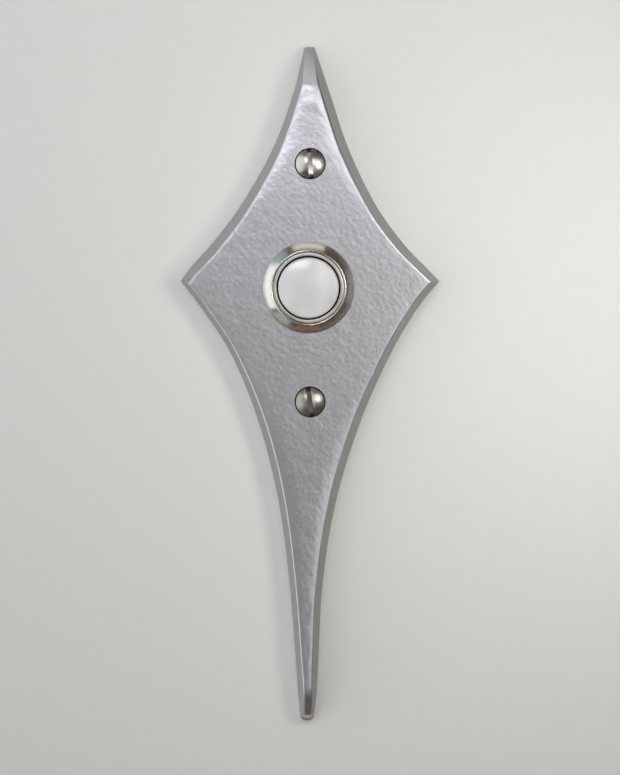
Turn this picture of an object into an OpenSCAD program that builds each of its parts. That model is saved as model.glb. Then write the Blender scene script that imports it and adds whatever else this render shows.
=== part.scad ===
/* [Plate outline] */
// Length from the side points up to the top end
top_len = 52.4; // [40:0.2:70]
// Length from the side points down to the bottom end
bottom_len = 100; // [80:0.5:130]
// Height of the side points above the button axis
side_point_z = 1.1; // [0:0.1:4]
// Reach of the left point from the button axis
left_reach = 28.75; // [22:0.05:40]
// Reach of the right point from the button axis
right_reach = 29.45; // [22:0.05:40]

/* [Plate thickness and edges] */
// Thickness of the plate where its face is flat
plate_t = 6; // [5:0.1:10]
// Lean of the side walls over the full thickness, at a share of one
draft_w = 1.6; // [0.8:0.1:2.4]
// Radius of the soft edge between the face and the side walls
edge_r = 0.6; // [0.2:0.05:0.8]
// Length over which the face rolls down towards the top end
top_roll = 8; // [4:0.2:14]
// Length over which the face rolls down towards the bottom end
bottom_roll = 7.6; // [4:0.2:14]
// Share of the top roll over which its slope grows, before it stays the same
top_bend_share = 0.3; // [0.2:0.05:0.9]
// Share of the bottom roll over which its slope grows
bottom_bend_share = 0.6; // [0.2:0.05:0.9]
// Height of the top end wall
top_end_t = 3; // [1.5:0.1:4.5]
// Height of the bottom end wall
bottom_end_t = 3; // [1.5:0.1:4.5]
// Lean of the top end wall
top_end_lean = 1.8; // [0.6:0.1:2.4]
// Lean of the bottom end wall
bottom_end_lean = 1.3; // [0.6:0.1:2.4]
// Radius of the two corners of the top end, seen from the front
top_round = 0.3; // [0.1:0.05:0.6]
// Radius of the two corners of the bottom end, seen from the front
bottom_round = 0.8; // [0.2:0.05:1]
// Upright foot of the two end walls
end_foot = 0.4; // [0.2:0.1:1]
// Distance between two neighbouring cross sections of the plate
section_step = 1.3; // [0.8:0.1:3]

/* [Plate back] */
// Radius of the round pocket behind the button
pocket_r = 12; // [10.5:0.1:13]
// Depth of the round pocket behind the button
pocket_d = 3; // [2.5:0.1:3.5]

/* [Bezel ring] */
// Outer radius of the bezel ring at the plate face
bezel_r = 10.22; // [9.6:0.02:11]
// Height of the bezel ring over the plate face
bezel_h = 2; // [1.4:0.1:3]
// Upright foot of the bezel ring
bezel_foot = 0.3; // [0.1:0.05:0.6]
// Radius of the rounded crest of the bezel ring
crest_r = 0.22; // [0.1:0.02:0.4]
// Thickness of the ledge under the barrel lip
ledge_t = 0.5; // [0.3:0.05:0.8]

/* [Barrel] */
// Radius of the threaded barrel
barrel_r = 7.6; // [7.2:0.05:8]
// Radius of the lip at the front of the barrel
lip_r = 7.9; // [7.75:0.01:8.2]
// Rounding of the lip's two front edges
lip_round = 0.2; // [0.05:0.01:0.3]
// Distance of the lip below the crest of the bezel
lip_set = 0.35; // [0.1:0.05:0.8]
// Thickness of the guide web inside the barrel
web_t = 2.4; // [1.5:0.1:3.5]
// Radius of the middle bore of the barrel
barrel_bore_r = 6.5; // [6.2:0.05:6.6]
// Radius of the plain tail of the barrel behind the plate
tail_r = 7.4; // [7.3:0.05:7.6]
// Radius of the rear bore of the barrel
seat_bore_r = 6.8; // [6.7:0.05:6.9]
// Radius of the groove for the base ring
groove_r = 7.1; // [7:0.05:7.2]
// Length of the barrel behind the base ring
tail_len = 0.7; // [0.4:0.1:2]

/* [Push button] */
// Radius of the button cap
cap_r = 6.78; // [6.4:0.02:6.85]
// Radius of the button's rounded shoulder
cap_round = 0.7; // [0.3:0.05:1.2]
// Radius of the sphere that forms the dome
dome_r = 26; // [16:0.5:60]
// Rise of the dome over the barrel lip
cap_rise = 1.6; // [1.2:0.1:2.6]
// Thickness of the cap behind its shoulder
cap_t = 2.2; // [1.6:0.1:3]
// Travel of the button
travel = 1.5; // [0.8:0.1:1.6]
// Radius of the guided shank of the button
shank_r = 5; // [4:0.1:5.2]
// Wall of the hollow shank
shank_wall = 1.6; // [1:0.1:2.2]
// Thickness left between the cap's face and the hollow
cap_floor = 2.4; // [1.4:0.1:4]
// Length of the shank behind the snap ring
shank_end_len = 1.2; // [0.8:0.1:2]
// Radius of the stem that carries the bridge disc
stem_r = 2; // [1.7:0.1:2.6]
// Length of the stem between the shank and the bridge disc
stem_len = 4.5; // [3:0.1:7]
// Radius of the thin post at the end of the stem
post_r = 0.9; // [0.7:0.05:1]
// Length of the post behind the stem clip
post_len = 0.8; // [0.4:0.1:1.2]

/* [Snap ring on the shank] */
// Outer radius of the snap ring
snap_r = 5.9; // [5.6:0.05:6.1]
// Radius of the groove in the shank
snap_groove_r = 4.5; // [3.6:0.05:4.7]
// Thickness of the snap ring
snap_t = 0.8; // [0.5:0.1:1.2]
// Width of the opening in the snap ring
snap_gap_w = 3.2; // [2:0.1:5]

/* [Bridge disc and stem clip] */
// Radius of the bridge disc
bridge_r = 5.7; // [5.3:0.05:6]
// Thickness of the bridge disc
bridge_t = 0.5; // [0.3:0.05:0.8]
// Radius of the stem clip
clip_r = 2; // [1.8:0.05:2.1]
// Thickness of the stem clip
clip_t = 0.4; // [0.3:0.05:0.6]

/* [Return spring] */
// Mean radius of the return spring
spring_r = 1.6; // [1.45:0.05:1.7]
// Radius of the spring wire
wire_r = 0.2; // [0.12:0.01:0.25]
// Number of turns of the return spring
spring_turns = 5; // [3:1:7]

/* [Contact base] */
// Thickness of the base inside the barrel
base_t = 4.4; // [3.6:0.1:7]
// Radius of the boss behind the base
boss_r = 6.1; // [5.9:0.05:6.2]
// Length of the boss behind the base
boss_len = 2.2; // [1.6:0.1:3]
// Radius of the well for the return spring
well_r = 2.1; // [2:0.05:2.2]
// Depth of the well for the return spring
well_d = 3; // [2.4:0.1:3.2]
// Thickness of the rib between the terminals
rib_t = 1.2; // [0.8:0.1:1.6]
// Height of the rib over the boss
rib_h = 1.8; // [0.8:0.1:2.4]
// Length of the rib between the terminals
rib_len = 10; // [6:0.2:11]

/* [Base ring] */
// Inner radius of the base ring
base_ring_r = 6.4; // [6.4:0.05:6.6]
// Thickness of the base ring
base_ring_t = 0.8; // [0.5:0.1:1.2]
// Width of the opening in the base ring
base_ring_gap_w = 2.6; // [1.6:0.1:4]

/* [Fixed contacts] */
// Distance of each contact from the button axis
contact_x = 4.2; // [4.1:0.05:4.3]
// Radius of the contact shank
contact_r = 1.6; // [1.4:0.05:1.65]
// Radius of the contact head that faces the bridge disc
head_r = 1.75; // [1.65:0.05:1.85]
// Height of the contact head
head_h = 0.6; // [0.4:0.05:0.9]
// Radius of the rear flange of the contact
flange_r = 1.85; // [1.75:0.05:1.9]
// Height of the rear flange of the contact
flange_h = 0.4; // [0.3:0.05:0.6]
// Air left between the contacts at the end of the travel
contact_air = 0.05; // [0.02:0.01:0.2]

/* [Terminal screws] */
// Radius of the terminal screw thread
terminal_r = 1; // [0.8:0.05:1.1]
// Length of the terminal screw under its head
terminal_len = 4.2; // [3:0.1:5]
// Radius of the terminal screw head
terminal_head_r = 1.9; // [1.7:0.05:1.95]
// Height of the terminal screw head
terminal_head_h = 1.3; // [0.9:0.1:1.8]
// Width of the slot in the terminal screw head
terminal_slot_w = 0.5; // [0.3:0.05:0.8]
// Depth of the slot in the terminal screw head
terminal_slot_d = 0.6; // [0.3:0.05:0.8]
// Rounding of the terminal screw head
terminal_round = 0.4; // [0.1:0.05:0.6]
// Room left past the end of the terminal screw in its contact
tapped_room = 0.5; // [0.2:0.1:1]
// Radius of the clamp washer
washer_r = 1.95; // [1.8:0.05:2]
// Thickness of the clamp washer
washer_t = 0.4; // [0.3:0.05:0.6]

/* [Lock nut and lock washer] */
// Width of the lock nut across its flats
nut_w = 19; // [17.5:0.5:20]
// Chamfer on the corners of the lock nut
nut_chamfer = 0.4; // [0.2:0.05:0.6]
// Angle of the chamfer on the corners of the lock nut
nut_chamfer_angle = 30; // [20:5:45]
// Outer radius of the lock washer
lock_washer_r = 10; // [9.2:0.1:11]
// Thickness of the lock washer
lock_washer_t = 0.8; // [0.5:0.1:1]

/* [Fixing screws] */
// Distance of the screws to the right of the button axis
screw_x = 0.35; // [-1:0.05:1]
// Height of the upper screw over the button axis
upper_screw_z = 27.6; // [22:0.1:34]
// Distance of the lower screw below the button axis
lower_screw_z = 25.7; // [22:0.1:34]
// Radius of the screw head
screw_head_r = 3.25; // [3:0.05:3.6]
// Height of the oval head over its rim
screw_dome_h = 1.1; // [0.5:0.05:1.6]
// Depth of the head's rim below the plate face
head_sink = 0.15; // [0.05:0.05:0.4]
// Full angle of the countersunk head
screw_angle = 82; // [80:1:90]
// Radius of the plain shank of the screw
screw_r = 1.75; // [1.5:0.05:2]
// Mean radius of the screw thread
thread_r = 1.5; // [1.2:0.05:1.7]
// Length of the screw behind the plate
screw_reach = 19.5; // [14:0.5:34]
// Length of the pointed end of the screw
screw_tip_len = 4; // [2:0.5:6]
// Radius left at the very point of the screw
screw_point_r = 0.2; // [0.1:0.05:0.4]
// Width of the slot in the screw head
slot_w = 1.1; // [0.6:0.05:1.4]
// Depth of the slot in the screw head
slot_d = 1.2; // [0.6:0.05:1.6]
// Lean of the slot in the upper screw
upper_slot_angle = 5.4; // [-90:0.1:90]
// Lean of the slot in the lower screw
lower_slot_angle = 8.3; // [-90:0.1:90]

/* [Clearances] */
// Radial gap of running and push fits
running_gap = 0.05; // [0.02:0.01:0.1]
// Radial gap between the cap and the lip around it
cap_gap = 0.37; // [0.3:0.01:0.5]
// Radial gap between the lip and the bezel around it
lip_gap = 0.15; // [0.1:0.01:0.3]
// Radial gap between bolts and their holes
hole_gap = 0.3; // [0.3:0.05:0.5]
// Gap left behind the cap at the end of the travel
stop_gap = 0.1; // [0.05:0.01:0.2]
// Gap between the lock nut and the wall behind the plate
nut_set = 0.2; // [0.1:0.05:0.4]

/* [Hidden] */
$fn = 64;

// Rows of the outline above the side points: height share, left share, right share.
upper_shares = [
  [0, 1, 1], [0.06, 0.92, 0.895], [0.16, 0.755, 0.725], [0.32, 0.535, 0.52],
  [0.56, 0.285, 0.31], [0.8, 0.12, 0.165], [1, 0.03, 0.045]
];

// Rows of the outline below the side points: depth share, left share, right share.
lower_shares = [
  [0, 1, 1], [0.06, 0.84, 0.835], [0.16, 0.615, 0.635], [0.32, 0.39, 0.395],
  [0.5, 0.235, 0.21], [0.68, 0.15, 0.11], [0.86, 0.1, 0.075],
  [0.95, 0.077, 0.058], [1, 0.059, 0.032]
];

// Rows of the wall lean above the side points: height share, left share, right share.
upper_lean_shares = [
  [0, 1.05, 0.75], [0.15, 1.1, 0.95], [0.4, 1.1, 1.1], [0.75, 0.85, 1.2], [0.92, 0.7, 1.05],
  [1, 0.3, 1.1]
];

// Rows of the wall lean below the side points: depth share, left share, right share.
lower_lean_shares = [
  [0, 0.8, 1], [0.15, 0.85, 1], [0.35, 1, 1.05], [0.6, 0.85, 0.9], [0.88, 0.8, 0.75],
  [1, 0.9, 0.5]
];

// Steps of the face's roll towards each end.
roll_shares = [0.06, 0.12, 0.18, 0.24, 0.3, 0.36, 0.44, 0.52, 0.6, 0.8];

// Steps of the end walls, and steps near the side points in units of the wall lean.
end_shares = [0, 0.06, 0.15, 0.3, 0.5, 0.75];
point_shares = [-1.2, -0.9, -0.6, -0.4, -0.2, 0, 0.2, 0.4, 0.6, 0.9, 1.2];

// Reach of the finer steps to each side of the side points, in the same units.
point_zone_share = 1.5;

// Steps round the crest of the bezel.
crest_shares = [0, 0.2, 0.4, 0.6, 0.8, 1];

// Steps across the soft edge of the face.
edge_shares = [0, 0.25, 0.5, 0.75, 1];

// Part of the wire thickness by which the coil rises over each closed end turn.
coil_seat_share = 0.5;

// Sections in one turn of the coil, and sides of its wire.
coil_steps = 20;
wire_sides = 8;

// The edge radius shrinks where a section is lower than this share allows.
edge_limit_share = 0.4;

// Height levels of the plate
z_top = side_point_z + top_len;
z_bottom = side_point_z - bottom_len;
z_top_face = z_top - top_end_lean;
z_bottom_face = z_bottom + bottom_end_lean;
z_top_flat = z_top_face - top_roll;
z_bottom_flat = z_bottom_face + bottom_roll;

// Depth levels along the button axis, growing into the wall
y_face = -plate_t;
y_crest = y_face - bezel_h;
y_lip = y_crest + lip_set;
y_ledge = y_face - ledge_t;
y_dome = y_lip - cap_rise;
dome_back = sqrt(pow(dome_r - cap_round, 2) - pow(cap_r - cap_round, 2));
y_shoulder = y_dome + dome_r - dome_back;
y_cap_back = y_shoulder + cap_t;
y_web = y_cap_back + travel + stop_gap;
y_web_back = y_web + web_t;
y_snap_back = y_web_back + snap_t;
y_shank_end = y_snap_back + shank_end_len;
y_bridge = y_shank_end + stem_len;
y_clip = y_bridge + bridge_t;
y_clip_back = y_clip + clip_t;
y_post_end = y_clip_back + post_len;
y_base = y_clip + travel + contact_air + head_h;
y_base_back = y_base + base_t;
y_boss_back = y_base_back + boss_len;
y_flange_back = y_boss_back + flange_h;
y_washer_back = y_flange_back + washer_t;
y_barrel_end = y_base_back + base_ring_t + tail_len;
y_pocket = -pocket_d;
y_nut = y_pocket + lock_washer_t;
y_nut_back = -nut_set;
y_rim = y_face + head_sink;
y_tapped = y_washer_back - terminal_len - tapped_room;
y_well = y_base + well_d;

// Radii that follow from the clearances
bore_r = cap_r + cap_gap;
bezel_bore_r = barrel_r + running_gap;
bezel_seat_r = lip_r + lip_gap;
crest_in_r = bezel_seat_r + crest_r;
plate_hole_r = barrel_r + hole_gap;
web_bore_r = shank_r + running_gap;
base_r = seat_bore_r - running_gap;
tapped_r = terminal_r + running_gap;
screw_hole_r = screw_r + hole_gap;
csk_run = tan(screw_angle / 2);
screw_cone_h = (screw_head_r - screw_r) / csk_run;
screw_dome_r = (pow(screw_head_r, 2) + pow(screw_dome_h, 2)) / (2 * screw_dome_h);
nut_r = nut_w / sqrt(3);

// Angle at which the bezel's cone leaves its crest
cone_run = bezel_r - crest_in_r;
cone_rise = bezel_h - bezel_foot - crest_r;
crest_turn = acos(crest_r / sqrt(pow(cone_run, 2) + pow(cone_rise, 2))) - atan(cone_rise / cone_run);

// Lean of the line on which the dome meets the rounded shoulder
dome_share = dome_r / (dome_r - cap_round);

// Place in a table where the value u falls.
function row_at(t, u, i = 0) = (i >= len(t) - 2 || u < t[i + 1][0]) ? i : row_at(t, u, i + 1);

// Rise of column c at row i of a table.
function rise_at(t, c, i) =
  let (a = max(i - 1, 0), b = min(i + 1, len(t) - 1))
  (t[b][c] - t[a][c]) / (t[b][0] - t[a][0]);

// Smooth curve through column c of a table.
function through(t, c, i, u) =
  let (h = t[i + 1][0] - t[i][0], s = (u - t[i][0]) / h, q = s * s, k = q * s)
  t[i][c] * (2 * k - 3 * q + 1) + rise_at(t, c, i) * h * (k - 2 * q + s)
  + t[i + 1][c] * (3 * q - 2 * k) + rise_at(t, c, i + 1) * h * (k - q);

// The same curve, going straight on before its first row.
function value(t, c, u) = u < 0 ? t[0][c] + rise_at(t, c, 0) * u : through(t, c, row_at(t, u), u);

// Share of the length above or below the side points, up = 1 or up = -1.
function level(up, z) = up * (z - side_point_z) / (up > 0 ? top_len : bottom_len);

// Width that a corner of radius r takes off at distance d from the end.
function corner_cut(r, d) = d < r ? r - sqrt(r * r - pow(r - max(d, 0), 2)) : 0;

// Reach of one side from the axis: c = 1 left, c = 2 right.
function reach(c, up, z) =
  (c == 1 ? left_reach : right_reach) * value(up > 0 ? upper_shares : lower_shares, c, level(up, z));

// Length of the outline for each unit of height, which turns a square distance into a level one.
function slant(c, up, z) =
  let (d = section_step / 2, g = (reach(c, up, z + d) - reach(c, up, z - d)) / section_step)
  sqrt(1 + g * g);

// Lean of the wall over the full thickness, measured square to the outline.
function lean(c, up, z) =
  draft_w * value(up > 0 ? upper_lean_shares : lower_lean_shares, c, max(level(up, z), 0));

// Reach of one side after moving in by a share of the lean and by a fixed length.
function inside(c, z, part, more) =
  min([for (up = [-1, 1]) reach(c, up, z) - slant(c, up, z) * (lean(c, up, z) * part + more)])
  - corner_cut(top_round, z_top - z) - corner_cut(bottom_round, z - z_bottom);

// Share of the roll's drop that is still left at step s. The slope grows up to share b.
function roll(s, b) = s < b ? 1 - s * s / (b * (2 - b)) : 2 * (1 - s) / (2 - b);

// Thickness of the plate at height z.
function height(z) =
  z >= z_top_face
    ? end_foot + (top_end_t - end_foot) * (z_top - z) / top_end_lean
  : z >= z_top_flat
    ? top_end_t + (plate_t - top_end_t) * roll((z - z_top_flat) / top_roll, top_bend_share)
  : z >= z_bottom_flat
    ? plate_t
  : z >= z_bottom_face
    ? bottom_end_t
      + (plate_t - bottom_end_t) * roll((z_bottom_flat - z) / bottom_roll, bottom_bend_share)
    : end_foot + (bottom_end_t - end_foot) * (z - z_bottom) / bottom_end_lean;

// Half of a cross section: the foot of the wall, then the soft edge up to the face.
function side(c, z) =
  let (
    h = height(z),
    e = min(edge_r, h * edge_limit_share),
    part = h / plate_t,
    low = [inside(c, z, part * (1 - e / h), 0), e - h],
    corner = [inside(c, z, part, 0), -h],
    high = [inside(c, z, part, e), -h]
  )
  concat(
    [[inside(c, z, 0, 0), 0]],
    [for (s = edge_shares) low * pow(1 - s, 2) + corner * 2 * s * (1 - s) + high * s * s]
  );

// One closed cross section at height z.
function section(z) =
  let (l = side(1, z), r = side(2, z))
  concat(
    [for (p = l) [-p[0], p[1], z]],
    [for (i = [len(r) - 1:-1:0]) [r[i][0], r[i][1], z]]
  );

// Even steps from a to b with both ends.
function steps(a, b) = let (n = ceil((b - a) / section_step)) [for (i = [0:n]) a + (b - a) * i / n];

levels = concat(
  [for (s = end_shares) z_bottom + s * bottom_end_lean],
  [z_bottom_face],
  [for (i = [len(roll_shares) - 1:-1:0]) z_bottom_flat - roll_shares[i] * bottom_roll],
  steps(z_bottom_flat, side_point_z - point_zone_share * draft_w),
  [for (s = point_shares) side_point_z + s * draft_w],
  steps(side_point_z + point_zone_share * draft_w, z_top_flat),
  [for (s = roll_shares) z_top_flat + s * top_roll],
  [z_top_face],
  [for (i = [len(end_shares) - 1:-1:0]) z_top - end_shares[i] * top_end_lean]
);

// Cylinder along the button axis from level a to level b.
module rod(r, a, b) {
  translate([0, a, 0])
    rotate([-90, 0, 0])
      cylinder(r = r, h = b - a);
}

// Cone along the button axis from level a to level b.
module taper(ra, rb, a, b) {
  translate([0, a, 0])
    rotate([-90, 0, 0])
      cylinder(r1 = ra, r2 = rb, h = b - a);
}

// Profile with x as radius and y as depth, turned round the button axis.
module turned() {
  rotate([-90, 0, 0])
    rotate_extrude()
      children();
}

// Body of the plate without its holes.
module plate_body() {
  rows = [for (z = levels) section(z)];
  n = len(rows[0]);
  m = len(rows);
  points = [for (r = rows) each r];
  walls = [
    for (i = [0:m - 2], j = [0:n - 1])
      let (a = i * n + j, b = i * n + (j + 1) % n)
      each [[a, a + n, b], [b, a + n, b + n]]
  ];
  bottom = [for (j = [0:n - 1]) j];
  top = [for (j = [n - 1:-1:0]) (m - 1) * n + j];
  polyhedron(points = points, faces = concat(walls, [bottom, top]));
}

// Hole with a countersink for one fixing screw.
module screw_hole() {
  rod(screw_hole_r, y_face - hole_gap, hole_gap);
  taper(
    screw_head_r + running_gap + (head_sink + hole_gap) * csk_run, screw_r + running_gap,
    y_face - hole_gap, y_rim + screw_cone_h
  );
}

module face_plate() {
  color("silver")
    difference() {
      plate_body();
      rod(plate_hole_r, y_face - hole_gap, hole_gap);
      rod(pocket_r, y_pocket, hole_gap);
      translate([screw_x, 0, upper_screw_z])
        screw_hole();
      translate([screw_x, 0, -lower_screw_z])
        screw_hole();
    }
}

module bezel_ring() {
  color("gainsboro")
    turned()
      polygon(concat(
        [[bezel_bore_r, y_face], [bezel_r, y_face], [bezel_r, y_face - bezel_foot]],
        [
          for (s = crest_shares)
            let (w = crest_turn + (180 - crest_turn) * s)
            [crest_in_r + crest_r * cos(w), y_crest + crest_r - crest_r * sin(w)]
        ],
        [[bezel_seat_r, y_ledge], [bezel_bore_r, y_ledge]]
      ));
}

// Profile of the lip with both front edges rounded.
module lip_profile() {
  union() {
    translate([lip_r - lip_round, y_lip + lip_round])
      circle(r = lip_round);
    translate([bore_r + lip_round, y_lip + lip_round])
      circle(r = lip_round);
    translate([bore_r, y_lip + lip_round])
      square([lip_r - bore_r, y_ledge - y_lip - lip_round]);
    translate([bore_r + lip_round, y_lip])
      square([lip_r - bore_r - 2 * lip_round, lip_round]);
  }
}

module barrel() {
  color("silver")
    difference() {
      union() {
        turned()
          lip_profile();
        difference() {
          union() {
            rod(barrel_r, y_ledge, 0);
            rod(tail_r, 0, y_barrel_end);
          }
          rod(bore_r, y_ledge - ledge_t, y_web);
        }
      }
      rod(web_bore_r, y_ledge, y_barrel_end + tail_len);
      rod(barrel_bore_r, y_web_back, y_barrel_end + tail_len);
      rod(seat_bore_r, y_base, y_barrel_end + tail_len);
      rod(groove_r, y_base_back, y_base_back + base_ring_t + running_gap);
    }
}

module lock_washer() {
  color("silver")
    difference() {
      rod(lock_washer_r, y_pocket, y_nut);
      rod(plate_hole_r, y_pocket - lock_washer_t, y_nut + lock_washer_t);
    }
}

module lock_nut() {
  color("silver")
    difference() {
      intersection() {
        translate([0, y_nut, 0])
          rotate([-90, 0, 0])
            cylinder(r = nut_r, h = y_nut_back - y_nut, $fn = 6);
        turned()
          polygon([
            [0, y_nut], [nut_r, y_nut], [nut_r, y_nut_back - nut_chamfer],
            [nut_r - nut_chamfer / tan(nut_chamfer_angle), y_nut_back], [0, y_nut_back]
          ]);
      }
      rod(bezel_bore_r, y_nut - hole_gap, y_nut_back + hole_gap);
    }
}

// Profile of the cap: dome, rounded shoulder and straight rim.
module cap_profile() {
  union() {
    intersection() {
      translate([0, y_shoulder + dome_back])
        circle(r = dome_r);
      polygon([
        [0, y_dome - cap_round], [(cap_r - cap_round) * dome_share, y_dome - cap_round],
        [(cap_r - cap_round) * dome_share, y_shoulder - dome_back * (dome_share - 1)],
        [cap_r - cap_round, y_shoulder], [0, y_shoulder]
      ]);
    }
    translate([cap_r - cap_round, y_shoulder])
      circle(r = cap_round);
    translate([0, y_shoulder])
      square([cap_r, cap_t]);
  }
}

module push_button() {
  color("white")
    difference() {
      union() {
        turned()
          cap_profile();
        rod(shank_r, y_cap_back, y_shank_end);
        rod(stem_r, y_cap_back, y_bridge);
        rod(post_r, y_bridge, y_post_end);
      }
      difference() {
        rod(shank_r - shank_wall, y_dome + cap_floor, y_shank_end + hole_gap);
        rod(stem_r, y_dome, y_bridge);
      }
      difference() {
        rod(shank_r + hole_gap, y_web_back, y_snap_back + running_gap);
        rod(snap_groove_r, y_web, y_shank_end);
      }
    }
}

// Flat ring with an opening at its lower side.
module split_ring(outer, inner, gap, a, b) {
  difference() {
    rod(outer, a, b);
    rod(inner, a - hole_gap, b + hole_gap);
    translate([-gap / 2, a - hole_gap, -outer - hole_gap])
      cube([gap, b - a + 2 * hole_gap, outer + hole_gap]);
  }
}

module snap_ring() {
  color("gray")
    split_ring(snap_r, snap_groove_r + running_gap, snap_gap_w, y_web_back, y_snap_back);
}

// Washer round a centre at distance x from the button axis.
module flat_washer(outer, inner, x, a, b) {
  translate([x, 0, 0])
    difference() {
      rod(outer, a, b);
      rod(inner, a - hole_gap, b + hole_gap);
    }
}

module bridge_disc() {
  color("gold")
    flat_washer(bridge_r, post_r + running_gap, 0, y_bridge, y_clip);
}

module stem_clip() {
  color("gray")
    flat_washer(clip_r, post_r + running_gap, 0, y_clip, y_clip_back);
}

// Centre line of the coil: flat for one turn at each end.
function coil_y(u) =
  let (
    a = y_clip_back + wire_r,
    b = y_well - wire_r,
    s = min(max((u - 1) / (spring_turns - 2), 0), 1)
  )
  a + 2 * wire_r * min(u, 1) * coil_seat_share + (b - a - 4 * wire_r * coil_seat_share) * s
  + 2 * wire_r * max(u - spring_turns + 1, 0) * coil_seat_share;

module return_spring() {
  n = spring_turns * coil_steps;
  points = [
    for (i = [0:n], j = [0:wire_sides - 1])
      let (u = i / coil_steps, w = 360 * j / wire_sides, r = spring_r + wire_r * cos(w))
      [r * cos(360 * u), coil_y(u) + wire_r * sin(w), r * sin(360 * u)]
  ];
  skin = [
    for (i = [0:n - 1], j = [0:wire_sides - 1])
      let (a = i * wire_sides + j, b = i * wire_sides + (j + 1) % wire_sides)
      each [[a, b, a + wire_sides], [b, b + wire_sides, a + wire_sides]]
  ];
  first = [for (j = [wire_sides - 1:-1:0]) j];
  last = [for (j = [0:wire_sides - 1]) n * wire_sides + j];
  color("silver")
    polyhedron(points = points, faces = concat(skin, [first, last]));
}

module contact_base() {
  color("dimgray")
    difference() {
      union() {
        rod(base_r, y_base, y_base_back);
        rod(boss_r, y_base_back, y_boss_back);
        translate([-rib_t / 2, y_boss_back, -rib_len / 2])
          cube([rib_t, rib_h, rib_len]);
      }
      rod(well_r, y_base - hole_gap, y_well);
      for (x = [-contact_x, contact_x])
        translate([x, 0, 0])
          rod(contact_r + running_gap, y_base - hole_gap, y_boss_back + hole_gap);
    }
}

module base_ring() {
  color("gray")
    split_ring(
      groove_r - running_gap, base_ring_r, base_ring_gap_w, y_base_back, y_base_back + base_ring_t
    );
}

// Fixed contact round a centre at distance x from the button axis.
module contact(x) {
  translate([x, 0, 0])
    difference() {
      union() {
        rod(head_r, y_base - head_h, y_base);
        rod(contact_r, y_base, y_boss_back);
        rod(flange_r, y_boss_back, y_flange_back);
      }
      rod(tapped_r, y_tapped, y_flange_back + hole_gap);
    }
}

module contact_left() {
  color("gold")
    contact(-contact_x);
}

module contact_right() {
  color("gold")
    contact(contact_x);
}

module clamp_washer_left() {
  color("silver")
    flat_washer(washer_r, terminal_r + hole_gap, -contact_x, y_flange_back, y_washer_back);
}

module clamp_washer_right() {
  color("silver")
    flat_washer(washer_r, terminal_r + hole_gap, contact_x, y_flange_back, y_washer_back);
}

// Terminal screw round a centre at distance x from the button axis.
module terminal_screw(x) {
  y_top = y_washer_back + terminal_head_h;
  translate([x, 0, 0])
    difference() {
      union() {
        rod(terminal_r, y_washer_back - terminal_len, y_washer_back);
        turned()
          union() {
            translate([terminal_head_r - terminal_round, y_top - terminal_round])
              circle(r = terminal_round);
            translate([0, y_washer_back])
              square([terminal_head_r, terminal_head_h - terminal_round]);
            translate([0, y_washer_back])
              square([terminal_head_r - terminal_round, terminal_head_h]);
          }
      }
      translate([-terminal_slot_w / 2, y_top - terminal_slot_d, -terminal_head_r])
        cube([terminal_slot_w, terminal_head_h, 2 * terminal_head_r]);
    }
}

module terminal_screw_left() {
  color("silver")
    terminal_screw(-contact_x);
}

module terminal_screw_right() {
  color("silver")
    terminal_screw(contact_x);
}

// Oval head fixing screw at height z, with its slot leaning by an angle.
module fixing_screw(z, angle) {
  translate([screw_x, 0, z])
    difference() {
      union() {
        turned()
          union() {
            intersection() {
              translate([0, y_rim - screw_dome_h + screw_dome_r])
                circle(r = screw_dome_r);
              translate([0, y_rim - screw_dome_h])
                square([screw_head_r, screw_dome_h]);
            }
            polygon([
              [0, y_rim], [screw_head_r, y_rim], [screw_r, y_rim + screw_cone_h],
              [0, y_rim + screw_cone_h]
            ]);
          }
        rod(screw_r, y_rim + screw_cone_h, 0);
        rod(thread_r, 0, screw_reach - screw_tip_len);
        taper(thread_r, screw_point_r, screw_reach - screw_tip_len, screw_reach);
      }
      rotate([0, -angle, 0])
        translate([-slot_w / 2, y_rim - 2 * screw_dome_h, -2 * screw_head_r])
          cube([slot_w, screw_dome_h + slot_d, 4 * screw_head_r]);
    }
}

module screw_upper() {
  color("gainsboro")
    fixing_screw(upper_screw_z, upper_slot_angle);
}

module screw_lower() {
  color("gainsboro")
    fixing_screw(-lower_screw_z, lower_slot_angle);
}

face_plate();
bezel_ring();
barrel();
lock_washer();
lock_nut();
push_button();
snap_ring();
bridge_disc();
stem_clip();
return_spring();
contact_base();
base_ring();
contact_left();
contact_right();
clamp_washer_left();
clamp_washer_right();
terminal_screw_left();
terminal_screw_right();
screw_upper();
screw_lower();
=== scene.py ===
# %% [markdown]
# # A doorbell push button on a cast star plate
#
# The real object is a cast plate with four points, about 152 mm tall, with a sprung button in a
# plated ring at its middle and one slotted screw above and one below it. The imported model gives
# every solid in its true place; this lesson dresses those solids so that they look like the real
# thing. It starts with the frame and the camera, goes on with the finishes and the pieces, and
# ends with the studio.

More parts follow.
